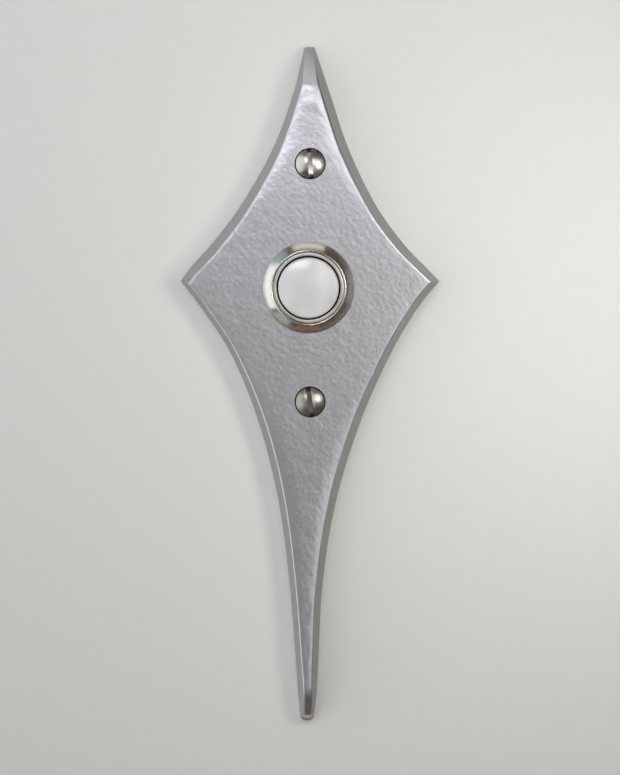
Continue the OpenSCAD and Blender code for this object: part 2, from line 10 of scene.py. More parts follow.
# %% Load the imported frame
import math
import bmesh
import bpy
import numpy as np
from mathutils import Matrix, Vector


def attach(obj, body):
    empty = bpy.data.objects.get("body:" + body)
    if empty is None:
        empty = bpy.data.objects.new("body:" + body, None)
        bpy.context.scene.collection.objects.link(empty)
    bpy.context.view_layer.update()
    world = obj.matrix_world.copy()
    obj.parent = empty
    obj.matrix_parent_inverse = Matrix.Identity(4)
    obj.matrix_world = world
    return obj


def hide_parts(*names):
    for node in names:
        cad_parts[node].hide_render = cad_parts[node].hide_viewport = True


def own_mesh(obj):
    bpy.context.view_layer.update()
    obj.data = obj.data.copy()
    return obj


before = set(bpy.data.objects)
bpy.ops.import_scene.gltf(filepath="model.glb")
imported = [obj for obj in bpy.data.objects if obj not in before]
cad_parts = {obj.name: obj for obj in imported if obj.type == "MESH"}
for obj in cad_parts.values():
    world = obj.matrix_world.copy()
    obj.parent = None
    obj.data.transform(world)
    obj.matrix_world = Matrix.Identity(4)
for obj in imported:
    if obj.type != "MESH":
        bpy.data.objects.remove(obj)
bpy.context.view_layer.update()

# %% [markdown]
# ## The camera
#
# The photograph was taken from almost straight in front: the side walls of the plate show a little
# more above the face than below it, which a camera 5 degrees above the axis explains. A long lens
# at 0.8 m keeps the plate's proportions. The image is taken to be 620 by 775 pixels, and one
# millimetre at the plate covers 4.43 of them, which settles the focal length.

# %% Camera at the photograph's angle
MM = 0.001
CAMERA_RISE = math.radians(5)
CAMERA_DISTANCE = 800
PIXELS_PER_MM = 4.43
IMAGE_PIXELS, SENSOR_WIDTH = 775, 36
AIM = np.array([0.335, 0.0, -22.97])

lens_data = bpy.data.cameras.new("camera")
lens_data.sensor_fit = "AUTO"
lens_data.sensor_width = SENSOR_WIDTH
lens_data.lens = SENSOR_WIDTH * PIXELS_PER_MM * CAMERA_DISTANCE / IMAGE_PIXELS
lens_data.clip_start, lens_data.clip_end = 0.05, 20
camera = bpy.data.objects.new("camera", lens_data)
bpy.context.scene.collection.objects.link(camera)
bpy.context.scene.camera = camera
back_along = np.array([0, -math.cos(CAMERA_RISE), math.sin(CAMERA_RISE)])
camera.location = (AIM + CAMERA_DISTANCE * back_along) * MM
camera.rotation_euler = (math.radians(90) - CAMERA_RISE, 0, 0)
print("Camera at", [round(v, 4) for v in camera.location], "lens", round(lens_data.lens, 2))

# %% [markdown]
# ## Colours and nodes
#
# A finish is written with the colours that a colour picker shows, as hex values, and one function
# turns them into the linear numbers that Blender computes with. Every node of every material is
# added by one other function, which sets the node up and links it in the same line.

# %% Helpers for the finishes
def paint(code):
    """Hex colour to linear light: each channel c of 0 to 1 becomes c / 12.92 where it is dark, and
    ((c + 0.055) / 1.055) to the power 2.4 elsewhere."""
    c = np.array([int(code[i:i + 2], 16) for i in (1, 3, 5)]) / 255
    linear = np.where(c <= 0.04045, c / 12.92, ((c + 0.055) / 1.055) ** 2.4)
    return (*map(float, linear), 1.0)


def add(finish, kind, inputs=None, **settings):
    """Adds one node: settings are its own properties, and inputs gives a value or another node's
    output for each socket, by name or number."""
    made = finish.node_tree.nodes.new("ShaderNode" + kind)
    for name, value in settings.items():
        setattr(made, name, value)
    for socket, value in (inputs or {}).items():
        if isinstance(value, bpy.types.NodeSocket):
            finish.node_tree.links.new(value, made.inputs[socket])
        else:
            made.inputs[socket].default_value = value
    return made


def new_finish(name):
    """An empty material with its output node, ready for add()."""
    finish = bpy.data.materials.new(name)
    finish.use_nodes = True
    finish.node_tree.nodes.clear()
    return finish


def per_mm(size):
    """Texture scale at which one feature of a pattern is `size` millimetres wide in the model."""
    return 1 / (size * MM)


print("Mid grey in linear light:", round(paint("#808080")[0], 4))

# %% [markdown]
# ## Cast aluminium
#
# The plate is sand-cast aluminium. Its face was tumbled with stones, which leaves a soft shine with
# an orange-peel dimple about 0.9 mm across and longer, worm-like ripples that run down to the
# right. The stones hardly reached the steep side walls, so these keep the dull, darker skin of the
# mould. The "tumbled" attribute says how much of the shine a place got: 1 on the face and 0 on the
# walls. Between the two, at the brink of the walls, a dark line of painted shade is put into the
# colour. The bent top kept a paler, matt skin, which the "matt" attribute marks, and one more
# attribute marks where shade is painted in, dark and dull. The finish could be a plain metal with
# noise in its roughness, but the eye reads the dimples from the way that highlights break up, so
# they go into the bump as well.

# %% Finish: tumbled sand-cast aluminium
cast_aluminium = new_finish("tumbled sand-cast aluminium")
place = add(cast_aluminium, "TexCoord").outputs["Object"]
tumbled_here = add(cast_aluminium, "Attribute", attribute_name="tumbled").outputs["Fac"]
matt_here = add(cast_aluminium, "Attribute", attribute_name="matt").outputs["Fac"]
grime_here = add(cast_aluminium, "Attribute", attribute_name="grime").outputs["Fac"]
dimples = add(cast_aluminium, "TexNoise", {
    "Vector": place, "Scale": per_mm(0.9), "Detail": 1.0, "Roughness": 0.5, "Distortion": 0.3,
})
along = add(cast_aluminium, "Mapping", {
    "Vector": place, "Rotation": (0, math.radians(-45), 0), "Scale": (1.0, 1.0, 2.0),
}, vector_type="TEXTURE")
ripples = add(cast_aluminium, "TexNoise", {
    "Vector": along.outputs[0], "Scale": per_mm(0.8), "Detail": 0.0, "Roughness": 0.4,
})
sand = add(cast_aluminium, "TexNoise", {
    "Vector": place, "Scale": per_mm(0.45), "Detail": 2.0, "Roughness": 0.6,
})
print("Dimples 0.9 mm, ripples 0.8 mm, sand 0.45 mm")

# %% Colour of the casting
tone = add(cast_aluminium, "ValToRGB", {"Fac": tumbled_here})
stops = tone.color_ramp.elements
# The stop at 0.3 is painted shade: a dark line at the brink of the walls, between wall and face.
for share, code in ((0.0, "#A2A4A2"), (0.3, "#7B7C7C"), (0.6, "#A3A4A6"), (0.95, "#C6C7CB")):
    stops.new(share).color = paint(code)
# The two stops that every new ramp brings along are taken out again.
stops.remove(stops[0])
stops.remove(stops[-1])
pale_face = add(cast_aluminium, "Math", {0: matt_here, 1: tumbled_here}, operation="MULTIPLY")
pale_top = add(cast_aluminium, "Mix", {
    0: pale_face.outputs[0], 6: tone.outputs["Color"], 7: paint("#CBCDCF"),
}, data_type="RGBA")
fleck = add(cast_aluminium, "MapRange", {
    "Value": sand.outputs["Fac"], "From Min": 0.3, "From Max": 0.7, "To Min": 0.95, "To Max": 1.03,
})
flecked = add(cast_aluminium, "Mix", {
    0: 1.0, 6: pale_top.outputs[2], 7: fleck.outputs[0],
}, data_type="RGBA", blend_type="MULTIPLY")
# Painted shade: this mix takes the colour to near black where the shade mark is 1.
colour = add(cast_aluminium, "Mix", {
    0: grime_here, 6: flecked.outputs[2], 7: paint("#0A0908"),
}, data_type="RGBA")
print("Stops from wall to face:", [round(spot.position, 2) for spot in stops])

# %% Shine and relief of the casting
shine = add(cast_aluminium, "Math", {0: matt_here, 1: -0.75, 2: 1.0}, operation="MULTIPLY_ADD")
shine = add(cast_aluminium, "Math", {0: tumbled_here, 1: shine.outputs[0]}, operation="MULTIPLY")
metal = add(cast_aluminium, "MapRange", {"Value": shine.outputs[0], "To Min": 0.25, "To Max": 1.0})
metal = add(cast_aluminium, "Math", {
    0: metal.outputs[0], 1: grime_here,
}, operation="SUBTRACT", use_clamp=True)
gloss = add(cast_aluminium, "MapRange", {"Value": shine.outputs[0], "To Min": 0.62, "To Max": 0.36})
uneven = add(cast_aluminium, "MapRange", {
    "Value": dimples.outputs["Fac"], "From Min": 0.3, "From Max": 0.7,
    "To Min": -0.02, "To Max": 0.02,
})
rough = add(cast_aluminium, "Math", {0: gloss.outputs[0], 1: uneven.outputs[0]})
peel = add(cast_aluminium, "Math", {
    0: ripples.outputs["Fac"], 1: 0.6, 2: dimples.outputs["Fac"],
}, operation="MULTIPLY_ADD")
relief = add(cast_aluminium, "Math", {
    0: sand.outputs["Fac"], 1: 0.15, 2: peel.outputs[0],
}, operation="MULTIPLY_ADD")
dents = add(cast_aluminium, "Bump", {
    "Height": relief.outputs[0], "Strength": 1.0, "Distance": 0.037 * MM,
})
add(cast_aluminium, "OutputMaterial", {"Surface": add(cast_aluminium, "BsdfPrincipled", {
    "Base Color": colour.outputs[2], "Metallic": metal.outputs[0],
    "Roughness": rough.outputs[0], "Normal": dents.outputs[0],
}).outputs[0]})
print("Deepest relief 0.037 mm")

# %% [markdown]
# ## Nickel plate
#
# The ring is brass with a bright nickel plate, the barrel's lip inside it was left satin, and the
# fixing screws have a worn plate over a less even surface, the lower one the duller of the two and
# painted darker as shade. Nickel is a little warmer and darker than chrome. Handling leaves a faint
# haze, which is a slow change of the roughness, and the buffing wheel leaves shallow waves. In the
# gap round the button and in the ends of the screw slots shade is painted into the colour: a mark
# says where, and there the metal turns dark and dull.

# %% Finishes: bright, satin and worn nickel plate
def nickel_plate(name, low, high, wave, dark="#CFCBC4", light="#D9D6D0"):
    """Nickel whose roughness goes from low to high with a haze in 5 mm patches, whose colour goes
    from dark to light with it, with buffing waves `wave` mm deep, and with painted shade, near
    black and dull, where the shade mark is 1."""
    finish = new_finish(name)
    place = add(finish, "TexCoord").outputs["Object"]
    haze = add(finish, "TexNoise", {
        "Vector": place, "Scale": per_mm(5), "Detail": 3.0, "Roughness": 0.6,
    })
    warmth = add(finish, "ValToRGB", {"Fac": haze.outputs["Fac"]})
    warmth.color_ramp.elements[0].position, warmth.color_ramp.elements[1].position = 0.35, 0.7
    warmth.color_ramp.elements[0].color = paint(dark)
    warmth.color_ramp.elements[1].color = paint(light)
    grime = add(finish, "Attribute", attribute_name="grime").outputs["Fac"]
    # Painted shade: the colour goes to near black where the shade mark is 1, and the metal turns
    # dull.
    tint = add(finish, "Mix", {
        0: grime, 6: warmth.outputs["Color"], 7: paint("#0F0D0B"),
    }, data_type="RGBA")
    soft = add(finish, "MapRange", {
        "Value": haze.outputs["Fac"], "From Min": 0.3, "From Max": 0.7,
        "To Min": low, "To Max": high,
    })
    dull = add(finish, "Math", {0: grime, 1: 0.4, 2: soft.outputs[0]}, operation="MULTIPLY_ADD")
    metal = add(finish, "Math", {0: grime, 1: -0.9, 2: 1.0}, operation="MULTIPLY_ADD")
    waves = add(finish, "TexNoise", {"Vector": place, "Scale": per_mm(1.2), "Detail": 1.0})
    buffed = add(finish, "Bump", {
        "Height": waves.outputs["Fac"], "Strength": 0.25, "Distance": wave * MM,
    })
    add(finish, "OutputMaterial", {"Surface": add(finish, "BsdfPrincipled", {
        "Base Color": tint.outputs[2], "Metallic": metal.outputs[0], "Roughness": dull.outputs[0],
        "Normal": buffed.outputs[0],
    }).outputs[0]})
    return finish


nickel = nickel_plate("bright nickel plate", 0.16, 0.24, 0.008)
satin_nickel = nickel_plate("satin nickel plate", 0.3, 0.38, 0.01)
worn_nickel = nickel_plate("worn nickel plate", 0.24, 0.36, 0.09, "#BDB8B0", "#D3D0CA")
# The lower screw's plate is a darker copy of the worn one, its colour darkened as painted shade.
dull_shaded_nickel = nickel_plate("dull nickel plate darkened as painted shade", 0.28, 0.4, 0.09, "#9C968D", "#B4B0A8")
print("Nickel haze patches 5 mm, buffing waves 1.2 mm")

# %% [markdown]
# ## White urea moulding
#
# The button is moulded in white urea plastic, the dense, china-like plastic of old bell pushes. It
# is glossy, a touch grey, and its flow in the mould leaves very faint clouds.

# %% Finish: glossy white urea
white_urea = new_finish("glossy white urea moulding")
place = add(white_urea, "TexCoord").outputs["Object"]
clouds = add(white_urea, "TexNoise", {
    "Vector": place, "Scale": per_mm(6), "Detail": 2.0, "Roughness": 0.5,
})
milk = add(white_urea, "ValToRGB", {"Fac": clouds.outputs["Fac"]})
milk.color_ramp.elements[0].position, milk.color_ramp.elements[1].position = 0.35, 0.65
milk.color_ramp.elements[0].color = paint("#D7D7D7")
milk.color_ramp.elements[1].color = paint("#E0E0DF")
handled = add(white_urea, "TexNoise", {
    "Vector": place, "Scale": per_mm(1.6), "Detail": 3.0, "Roughness": 0.6,
})
polish = add(white_urea, "MapRange", {
    "Value": handled.outputs["Fac"], "From Min": 0.3, "From Max": 0.7,
    "To Min": 0.15, "To Max": 0.22,
})
sink = add(white_urea, "Bump", {
    "Height": clouds.outputs["Fac"], "Strength": 0.2, "Distance": 0.05 * MM,
})
add(white_urea, "OutputMaterial", {"Surface": add(white_urea, "BsdfPrincipled", {
    "Base Color": milk.outputs["Color"], "Roughness": polish.outputs[0], "IOR": 1.55,
    "Normal": sink.outputs[0],
}).outputs[0]})
print("Flow clouds 6 mm")

# %% [markdown]
# ## The hidden metals and the black base
#
# Behind the plate sit plain hardware finishes: bright zinc plate with its blotchy crystals, bare
# spring steel with a dark oil bloom, turned brass with fine tool rings, and a black phenolic base
# whose filler shows as small brown specks. Each gets the one pattern that its making leaves.

# %% Finishes: zinc, spring steel, brass and phenolic
def hardware(name, dark, light, patch, roughness, metallic, bump, stretch=(1.0, 1.0, 1.0)):
    """A two-tone finish: noise with patches of `patch` mm goes from the dark to the light colour,
    from the first to the second roughness, and lifts the surface by `bump` mm."""
    finish = new_finish(name)
    where = add(finish, "Mapping", {
        "Vector": add(finish, "TexCoord").outputs["Object"], "Scale": stretch,
    })
    noise = add(finish, "TexNoise", {
        "Vector": where.outputs[0], "Scale": per_mm(patch), "Detail": 4.0, "Roughness": 0.6,
    })
    tint = add(finish, "ValToRGB", {"Fac": noise.outputs["Fac"]})
    tint.color_ramp.elements[0].position, tint.color_ramp.elements[1].position = 0.35, 0.65
    tint.color_ramp.elements[0].color, tint.color_ramp.elements[1].color = paint(dark), paint(light)
    dull = add(finish, "MapRange", {
        "Value": noise.outputs["Fac"], "From Min": 0.35, "From Max": 0.65,
        "To Min": roughness[0], "To Max": roughness[1],
    })
    lift = add(finish, "Bump", {
        "Height": noise.outputs["Fac"], "Strength": 0.4, "Distance": bump * MM,
    })
    add(finish, "OutputMaterial", {"Surface": add(finish, "BsdfPrincipled", {
        "Base Color": tint.outputs["Color"], "Metallic": metallic, "Roughness": dull.outputs[0],
        "Normal": lift.outputs[0],
    }).outputs[0]})
    return finish


zinc = hardware("bright zinc plate", "#A9ADB2", "#C3C6CA", 1.1, (0.26, 0.4), 1.0, 0.01)
spring_steel = hardware(
    "oiled spring steel", "#6C6A69", "#8B8A8A", 0.7, (0.28, 0.42), 1.0, 0.01
)
brass = hardware(
    "turned brass", "#B48C45", "#D2AC66", 0.5, (0.2, 0.34), 1.0, 0.01, (1.0, 6.0, 1.0)
)
phenolic = hardware("black phenolic moulding", "#1E1A17", "#2B2521", 0.35, (0.36, 0.5), 0.0, 0.01)
print("Hardware finishes:", [m.name for m in (zinc, spring_steel, brass, phenolic)])

# %% [markdown]
# ## Surfaces from numbers
#
# Every new piece is a grid of points worked out with numpy. Small helpers do the work that all
# pieces share: one rounds the corners of a profile, one adds points on its long stretches, one
# turns it about an axis like a lathe, and one makes the grid into a mesh whose seams and poles are
# merged and whose faces point outwards. Others cut holes, mark places for the finishes, and settle
# a mesh on its body. One more gives a share that rises from 0 to 1, for everything that fades.

# %% Helpers for the pieces
def rising(value, start, over):
    """Share that is 0 up to `start` and grows evenly to 1 at `start` + `over`."""
    return np.clip((value - start) / over, 0, 1)


def softened(corners, radius, steps=5):
    """Rounds the corners of a profile. Each corner gives way to the parabola that leaves the side
    before it, and joins the side after it, `radius` from the corner (less on a short side)."""
    corners = np.asarray(corners, float)
    before, after = np.roll(corners, 1, 0) - corners, np.roll(corners, -1, 0) - corners
    shorter = np.minimum(np.linalg.norm(before, axis=1), np.linalg.norm(after, axis=1))
    cut = np.minimum(radius, 0.45 * shorter)[:, None]
    first = corners + before / np.maximum(np.linalg.norm(before, axis=1), 1e-9)[:, None] * cut
    last = corners + after / np.maximum(np.linalg.norm(after, axis=1), 1e-9)[:, None] * cut
    first, middle, last = first[:, None], corners[:, None], last[:, None]
    s = np.linspace(0, 1, steps)[None, :, None]
    return (first * (1 - s) ** 2 + middle * 2 * s * (1 - s) + last * s * s).reshape(-1, 2)


def dense(points, step):
    """Adds even points on each stretch of a profile that is longer than `step`."""
    stretches = [
        np.linspace(a, b, max(1, math.ceil(np.linalg.norm(b - a) / step)), endpoint=False)
        for a, b in zip(points[:-1], points[1:])
    ]
    return np.concatenate([*stretches, points[-1:]])


def turned(profile, centre=(0, 0), steps=160, change=None):
    """A lathe: the profile point of radius r and depth y goes to centre + r (cos a, sin a) in X and
    Z for every angle a. `change` may alter each radius from its depth and its share of a turn."""
    turn = np.arange(steps)[None, :] / steps
    radius, depth = (np.repeat(v[:, None], steps, 1) for v in np.asarray(profile, float).T)
    if change:
        radius = change(radius, depth, turn)
    x, z = radius * np.cos(2 * np.pi * turn), radius * np.sin(2 * np.pi * turn)
    return np.stack([centre[0] + x, depth, centre[1] + z], -1)


def skin(name, grid, round_rows=False):
    """A mesh from rows by columns of points in millimetres: one four-sided face for each cell. The
    last column is joined to the first, and the last row too where it goes round. Points that meet
    are merged, and open ends are closed."""
    rows, columns = grid.shape[:2]
    r = np.arange(rows if round_rows else rows - 1)[:, None]
    c = np.arange(columns)[None, :]
    below, beside = (r + 1) % rows, (c + 1) % columns
    cells = np.stack(
        [r * columns + c, r * columns + beside, below * columns + beside, below * columns + c], -1
    )
    mesh = bpy.data.meshes.new(name)
    mesh.from_pydata((grid.reshape(-1, 3) * MM).tolist(), [], cells.reshape(-1, 4).tolist())
    work = bmesh.new()
    work.from_mesh(mesh)
    bmesh.ops.remove_doubles(work, verts=work.verts, dist=1e-7)
    open_edges = [e for e in work.edges if len(e.link_faces) == 1]
    bmesh.ops.holes_fill(work, edges=open_edges, sides=0)
    bmesh.ops.recalc_face_normals(work, faces=work.faces)
    work.to_mesh(mesh)
    work.free()
    return mesh


def cut(mesh, cutters):
    """Takes the cutters' shapes out of a mesh with the exact Boolean, and keeps the result."""
    blank = bpy.data.objects.new("blank", mesh)
    bpy.context.scene.collection.objects.link(blank)
    tools = []
    for shape in cutters:
        tool = bpy.data.objects.new("cutter", shape)
        bpy.context.scene.collection.objects.link(tool)
        step = blank.modifiers.new("cut", "BOOLEAN")
        step.operation, step.solver, step.object = "DIFFERENCE", "EXACT", tool
        tools.append(tool)
    graph = bpy.context.evaluated_depsgraph_get()
    result = bpy.data.meshes.new_from_object(blank.evaluated_get(graph))
    for spent in [blank, *tools]:
        bpy.data.objects.remove(spent)
    return result


def mark(mesh, name, rule):
    """Stores a value for every vertex under a name: rule(x, y, z) with places in millimetres."""
    spots = np.array([tuple(v.co) for v in mesh.vertices]) / MM
    values = rule(*spots.T).astype(np.float32)
    mesh.attributes.new(name, "FLOAT", "POINT").data.foreach_set("value", values)


def settle(mesh, name, body, finish, nodes, crease=38):
    """Makes a mesh a piece of the object: smooth but for edges sharper than `crease` degrees, in
    its finish, riding on its body and standing for its CAD nodes."""
    piece = bpy.data.objects.new(name, mesh)
    bpy.context.scene.collection.objects.link(piece)
    mesh.shade_smooth()
    mesh.set_sharp_from_angle(angle=math.radians(crease))
    mesh.materials.clear()
    mesh.materials.append(finish)
    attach(piece, body)
    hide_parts(*nodes)
    spots = np.array([tuple(v.co) for v in mesh.vertices]) / MM
    low, high = spots.min(0).round(2), spots.max(0).round(2)
    print(name, "faces", len(mesh.polygons), "from", low, "to", high)
    return piece


print("Helpers ready")

# %% [markdown]
# ## The outline of the star
#
# Seen from the front, the plate has four concave sides that meet in a point at the left, right,
# top and bottom. Each side is drawn as a table of shares: how far up or down it is, as a share of
# the length, and how far out, as a share of the reach. A smooth curve goes through the rows. The
# same tables are in the part's source, so that the dressed plate and the solid agree. A second
# pair of tables says how far the side wall leans, because the casting is thicker at some places.

# %% Outline and lean of the walls
SIDE_Z, TOP_LENGTH, BOTTOM_LENGTH = 1.1, 52.4, 100
LEFT_REACH, RIGHT_REACH = 28.75, 29.45
PLATE, LEAN, EDGE = 6.0, 1.6, 0.6
upper_shares = np.array([
    [0, 1, 1], [0.06, 0.92, 0.895], [0.16, 0.755, 0.725], [0.32, 0.535, 0.52],
    [0.56, 0.285, 0.31], [0.8, 0.12, 0.165], [1, 0.03, 0.045],
])
lower_shares = np.array([
    [0, 1, 1], [0.06, 0.84, 0.835], [0.16, 0.615, 0.635], [0.32, 0.39, 0.395],
    [0.5, 0.235, 0.21], [0.68, 0.15, 0.11], [0.86, 0.1, 0.075],
    [0.95, 0.077, 0.058], [1, 0.059, 0.032],
])
upper_lean_shares = np.array([
    [0, 1.05, 0.75], [0.15, 1.1, 0.95], [0.4, 1.1, 1.1], [0.75, 0.85, 1.2], [0.92, 0.7, 1.05],
    [1, 0.3, 1.1],
])
lower_lean_shares = np.array([
    [0, 0.8, 1], [0.15, 0.85, 1], [0.35, 1, 1.05], [0.6, 0.85, 0.9], [0.88, 0.8, 0.75],
    [1, 0.9, 0.5],
])


def through(table, column, u):
    """Smooth curve through a column of a table: a cubic between each two rows, whose slope at a row
    is that of the line between its two neighbours. It goes straight on before the first row."""
    x, y = table[:, 0], table[:, column]
    row = np.arange(len(x))
    lower, upper = np.maximum(row - 1, 0), np.minimum(row + 1, len(x) - 1)
    slope = (y[upper] - y[lower]) / (x[upper] - x[lower])
    i = np.clip(np.searchsorted(x, u, "right") - 1, 0, len(x) - 2)
    h = x[i + 1] - x[i]
    s = (u - x[i]) / h
    curve = (
        y[i] * (2 * s ** 3 - 3 * s ** 2 + 1) + slope[i] * h * (s ** 3 - 2 * s ** 2 + s)
        + y[i + 1] * (3 * s ** 2 - 2 * s ** 3) + slope[i + 1] * h * (s ** 3 - s ** 2)
    )
    return np.where(u < 0, y[0] + slope[0] * u, curve)


def reach(side, up, z):
    """Distance of the outline from the axis at height z, for side 1 (left) or 2 (right)."""
    share = up * (z - SIDE_Z) / (TOP_LENGTH if up > 0 else BOTTOM_LENGTH)
    widest = LEFT_REACH if side == 1 else RIGHT_REACH
    return widest * through(upper_shares if up > 0 else lower_shares, side, share)


def corner_cut(radius, d):
    """Width that a rounded corner takes off at distance d from the end."""
    inner = np.clip(radius - d, 0, radius)
    return np.where(d < radius, radius - np.sqrt(radius ** 2 - inner ** 2), 0)


Z_TOP, Z_BOTTOM = SIDE_Z + TOP_LENGTH, SIDE_Z - BOTTOM_LENGTH


def inside(side, z, part, more):
    """Reach of a side after it moved in by `part` of the wall's lean and by `more` mm, both square
    to the outline. The lower of the upper and lower curves holds, which gives the side point."""
    found = []
    for up, leans in ((-1, lower_lean_shares), (1, upper_lean_shares)):
        share = np.maximum(up * (z - SIDE_Z) / (TOP_LENGTH if up > 0 else BOTTOM_LENGTH), 0)
        lean = LEAN * through(leans, side, share)
        step = 0.65
        slant = (reach(side, up, z + step) - reach(side, up, z - step)) / (2 * step)
        found.append(reach(side, up, z) - np.sqrt(1 + slant ** 2) * (lean * part + more))
    return np.minimum(*found) - corner_cut(0.3, Z_TOP - z) - corner_cut(0.8, z - Z_BOTTOM)


print("Widths at z = -60, -20, 20, 40:", [
    round(float(inside(1, np.float64(z), 0, 0) + inside(2, np.float64(z), 0, 0)), 2)
    for z in (-60, -20, 20, 40)
])

# %% [markdown]
# ## The cast plate
#
# The plate could be kept as the CAD solid, but its face there is flat and built from few facets. On
# the real casting the face is slightly crowned: it falls away by a few degrees near its edges,
# rolls down towards both ends, and is a little lumpy from the sand. So it is made anew as one grid:
# each row is a cross section at one height, and each column runs the length of the plate. The
# thickness falls at both ends along an arc, and a soft minimum blends it into the sloping end wall.
# The crown is strongest where the plate is narrow, and fades out before the soft edge.

# %% Thickness, crown and lumps of the face
TOP_ROLL, BOTTOM_ROLL, END_T, END_FOOT = 8.0, 7.6, 3.0, 0.4
TOP_LEAN, BOTTOM_LEAN, BLEND = 1.8, 1.3, 1.0


def bent_down(share, bend):
    """Drop of the face, 0 to 1, over the last stretch: its slope grows evenly over the first
    `bend` of the stretch and then stays the same."""
    s = np.clip(share, 0, 1)
    return np.where(s < bend, s * s / (bend * (2 - bend)), 1 - 2 * (1 - s) / (2 - bend))


def thickness(z):
    """Plate thickness at height z: full on the flat, bent down towards both ends, and blended into
    the sloping end walls by min(a, b) - max(k - |a - b|, 0)^2 / 4k, where k is BLEND."""
    up = bent_down((z - (Z_TOP - TOP_LEAN - TOP_ROLL)) / TOP_ROLL, 0.3)
    down = bent_down(((Z_BOTTOM + BOTTOM_LEAN + BOTTOM_ROLL) - z) / BOTTOM_ROLL, 0.6)
    face = PLATE - (PLATE - END_T) * (up + down)
    wall = END_FOOT + (END_T - END_FOOT) * np.minimum(
        (Z_TOP - z) / TOP_LEAN, (z - Z_BOTTOM) / BOTTOM_LEAN
    )
    close = np.maximum(BLEND - np.abs(face - wall), 0)
    return np.maximum(np.minimum(face, wall) - close ** 2 / (4 * BLEND), END_FOOT)


def lumps(x, z):
    """Unevenness of the sand mould: a few long waves in several directions, added up. They grow
    towards the tail, where the metal cooled first, and most of all at the bend of the top."""
    rng = np.random.default_rng(7)
    total = np.zeros(np.broadcast(x, z).shape)
    for _ in range(14):
        way, length, phase = rng.uniform(0, np.pi), rng.uniform(3.6, 9), rng.uniform(0, 2 * np.pi)
        total += np.sin(2 * np.pi * (x * np.cos(way) + z * np.sin(way)) / length + phase)
    tail, bend = rising(-z, 60, 30), np.exp(-((z - 42) / 4.5) ** 2)
    return total / math.sqrt(14) * (0.006 + 0.026 * tail + 0.035 * bend)


print("Thickness at z = 0, 47, 51.5:", [
    round(float(thickness(np.float64(z))), 2) for z in (0, 47, 51.5)
])

# %% Grid of the plate
z_rows = np.unique(np.concatenate([
    np.linspace(Z_BOTTOM, Z_BOTTOM + 2, 17), np.linspace(Z_BOTTOM + 2, Z_BOTTOM + 12, 41),
    np.linspace(Z_BOTTOM + 12, SIDE_Z - 4, 245), np.linspace(SIDE_Z - 4, SIDE_Z, 25),
    np.linspace(SIDE_Z, SIDE_Z + 4, 25), np.linspace(SIDE_Z + 4, Z_TOP - 12, 105),
    np.linspace(Z_TOP - 12, Z_TOP - 2, 41), np.linspace(Z_TOP - 2, Z_TOP, 17),
]).round(6))[:, None]
tall = thickness(z_rows)
part = tall / PLATE
edge = np.minimum(EDGE * (1 - 0.35 * rising(-z_rows, -SIDE_Z, 60)), tall * 0.4)


def flank(side):
    """Foot, wall and soft edge of one side, from the back of the plate to its face: the wall is
    straight and the edge is a parabola from `edge` below the face to `edge` inside it."""
    up = np.linspace(0, 1, 7)[None, :-1]
    low_x, low_y = inside(side, z_rows, part * (1 - edge / tall), 0), tall - edge
    wall_x = inside(side, z_rows, 0, 0) * (1 - up) + low_x * up
    s = np.linspace(0, 1, 11)[None, :]
    corner_x, high_x = inside(side, z_rows, part, 0), inside(side, z_rows, part, edge)
    edge_x = low_x * (1 - s) ** 2 + corner_x * 2 * s * (1 - s) + high_x * s * s
    edge_y = low_y * (1 - s) ** 2 + tall * 2 * s * (1 - s) + tall * s * s
    return np.hstack([wall_x, edge_x]), np.hstack([low_y * up, edge_y])


left_x, left_y = flank(1)
right_x, right_y = flank(2)
across = np.sin(np.linspace(-np.pi / 2, np.pi / 2, 92))[None, 1:-1]
width = left_x[:, -1:] + right_x[:, -1:]
face_x = -left_x[:, -1:] + width * (across + 1) / 2
room = np.minimum(face_x + left_x[:, -1:], right_x[:, -1:] - face_x)
narrow = rising(-width, -26, 16)
falls = np.minimum(2.5 + 2.5 * narrow, 0.5 * width)
drop = np.radians(1.6 + 5.4 * narrow) * falls / 3
sunk = drop * (1 - np.minimum(room / falls, 1)) ** 3
fade = rising(room, 0, 1.2)
face_y = tall - sunk + lumps(face_x, z_rows) * fade * fade * (3 - 2 * fade)
lowered = 1 - drop / np.maximum(tall, 1e-6)
plate_x = np.hstack([-left_x, face_x, right_x[:, ::-1]])
plate_y = -np.hstack([left_y * lowered, face_y, right_y[:, ::-1] * lowered])
plate_grid = np.stack([plate_x, plate_y, np.broadcast_to(z_rows, plate_x.shape)], -1)
plate_mesh = skin("plate blank", plate_grid)
print("Plate grid", plate_grid.shape, "crown drop up to", round(float(drop.max()), 3), "mm")

# %% [markdown]
# ### Holes in the plate
#
# The barrel goes through a round hole that opens into a shallow pocket at the back, and each screw
# sits in a countersunk hole. On a turned piece these would be part of the profile, but the plate
# isn't round, so they are cut: each cutter is itself a turned shape.

# %% Cut the holes
FACE, POCKET, BEYOND = -6.0, -3.0, 1.0
HOLE_R, POCKET_R = 7.9, 12
SCREW_X, UPPER_Z, LOWER_Z = 0.35, 27.6, -25.7
HEAD_R, SHANK_R, RIM = 3.25, 1.75, -5.85
MOUTH_R, SHANK_HOLE_R = HEAD_R + 0.14, SHANK_R + 0.3
SLOPE = math.tan(math.radians(41))
cutters = [skin("barrel_hole", turned([
    [0, FACE - BEYOND], [HOLE_R, FACE - BEYOND], [HOLE_R, POCKET], [POCKET_R, POCKET],
    [POCKET_R, BEYOND], [0, BEYOND],
]))]
for z in (UPPER_Z, LOWER_Z):
    cutters.append(skin("screw_hole", turned(dense(np.array([
        [0, RIM - 1], [MOUTH_R + SLOPE, RIM - 1],
        [SHANK_HOLE_R, RIM + (MOUTH_R - SHANK_HOLE_R) / SLOPE], [SHANK_HOLE_R, BEYOND], [0, BEYOND],
    ]), 0.1), (SCREW_X, z), 96)))
plate_mesh = cut(plate_mesh, cutters)
print("Faces of the plate after the cuts:", len(plate_mesh.polygons))
